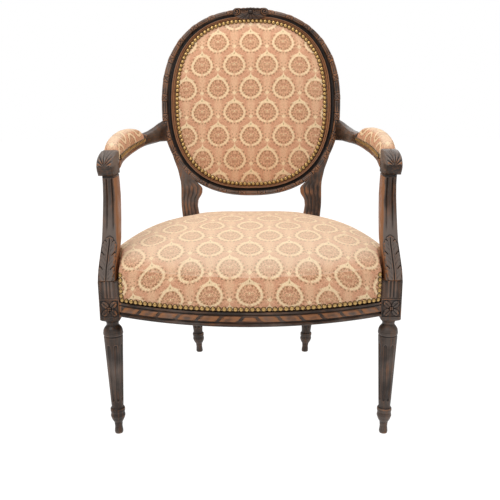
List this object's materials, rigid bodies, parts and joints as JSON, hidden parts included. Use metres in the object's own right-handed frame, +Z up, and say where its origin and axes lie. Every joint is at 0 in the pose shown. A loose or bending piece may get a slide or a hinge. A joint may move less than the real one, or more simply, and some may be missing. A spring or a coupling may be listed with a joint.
{
  "type": "fauteuil",
  "caption": "Open armchair with a round medallion back, padded arms, crowned upholstered seat with bowed front, and turned fluted legs in dark carved wood.",
  "frame": {"origin": "on the floor, at the middle of the chair's width and depth", "axes": "+X to the right as seen from the front, -Y to the front, +Z up"},
  "size_m": [0.642, 0.6474, 0.9711],
  "materials": {
    "wood": "dark stained and waxed, worn on raised edges",
    "inner_wood": "raw",
    "fabric": "woven damask",
    "stuffing": "loose hair and fibre",
    "hessian": "coarse plain weave",
    "webbing": "herringbone weave",
    "brass": "antique, worn",
    "steel": "plain"
  },
  "bodies": {
    "root": {"front_leg_right": "wood", "front_leg_left": "wood", "rear_leg_stile_right": "wood", "rear_leg_stile_left": "wood", "front_seat_rail": "wood", "side_seat_rail_right": "wood", "side_seat_rail_left": "wood", "back_seat_rail": "wood", "crest_rail": "wood", "lower_back_rail": "wood", "armrest_right": "wood", "armrest_left": "wood", "arm_support_right": "wood", "arm_support_left": "wood", "crest_dowel_right": "inner_wood", "crest_dowel_left": "inner_wood", "lower_rail_dowel_right": "inner_wood", "lower_rail_dowel_left": "inner_wood", "arm_stile_dowel_right": "inner_wood", "arm_stile_dowel_left": "inner_wood", "front_corner_block_right": "inner_wood", "front_corner_block_left": "inner_wood", "rear_corner_block_right": "inner_wood", "rear_corner_block_left": "inner_wood", "front_corner_screw_right": "steel", "front_corner_screw_left": "steel", "rear_corner_screw_right": "steel", "rear_corner_screw_left": "steel", "front_spring_right": "steel", "front_spring_left": "steel", "rear_spring_right": "steel", "rear_spring_left": "steel", "webbing_lengthwise_1": "webbing", "webbing_lengthwise_2": "webbing", "webbing_lengthwise_3": "webbing", "webbing_lengthwise_4": "webbing", "webbing_crosswise_1": "webbing", "webbing_crosswise_2": "webbing", "webbing_crosswise_3": "webbing", "seat_hessian": "hessian", "back_hessian": "hessian", "seat_stuffing": "stuffing", "back_stuffing": "stuffing", "arm_pad_stuffing_right": "stuffing", "arm_pad_stuffing_left": "stuffing", "seat_cover": "fabric", "back_cover": "fabric", "outside_back_panel": "fabric", "arm_pad_cover_right": "fabric", "arm_pad_cover_left": "fabric", "seat_nails_front": "brass", "seat_nails_side_right": "brass", "seat_nails_side_left": "brass", "seat_nails_back": "brass", "back_nails": "brass", "arm_nails_inner_right": "brass", "arm_nails_inner_left": "brass", "arm_nails_outer_right": "brass", "arm_nails_outer_left": "brass"}
  },
  "joints": []
}
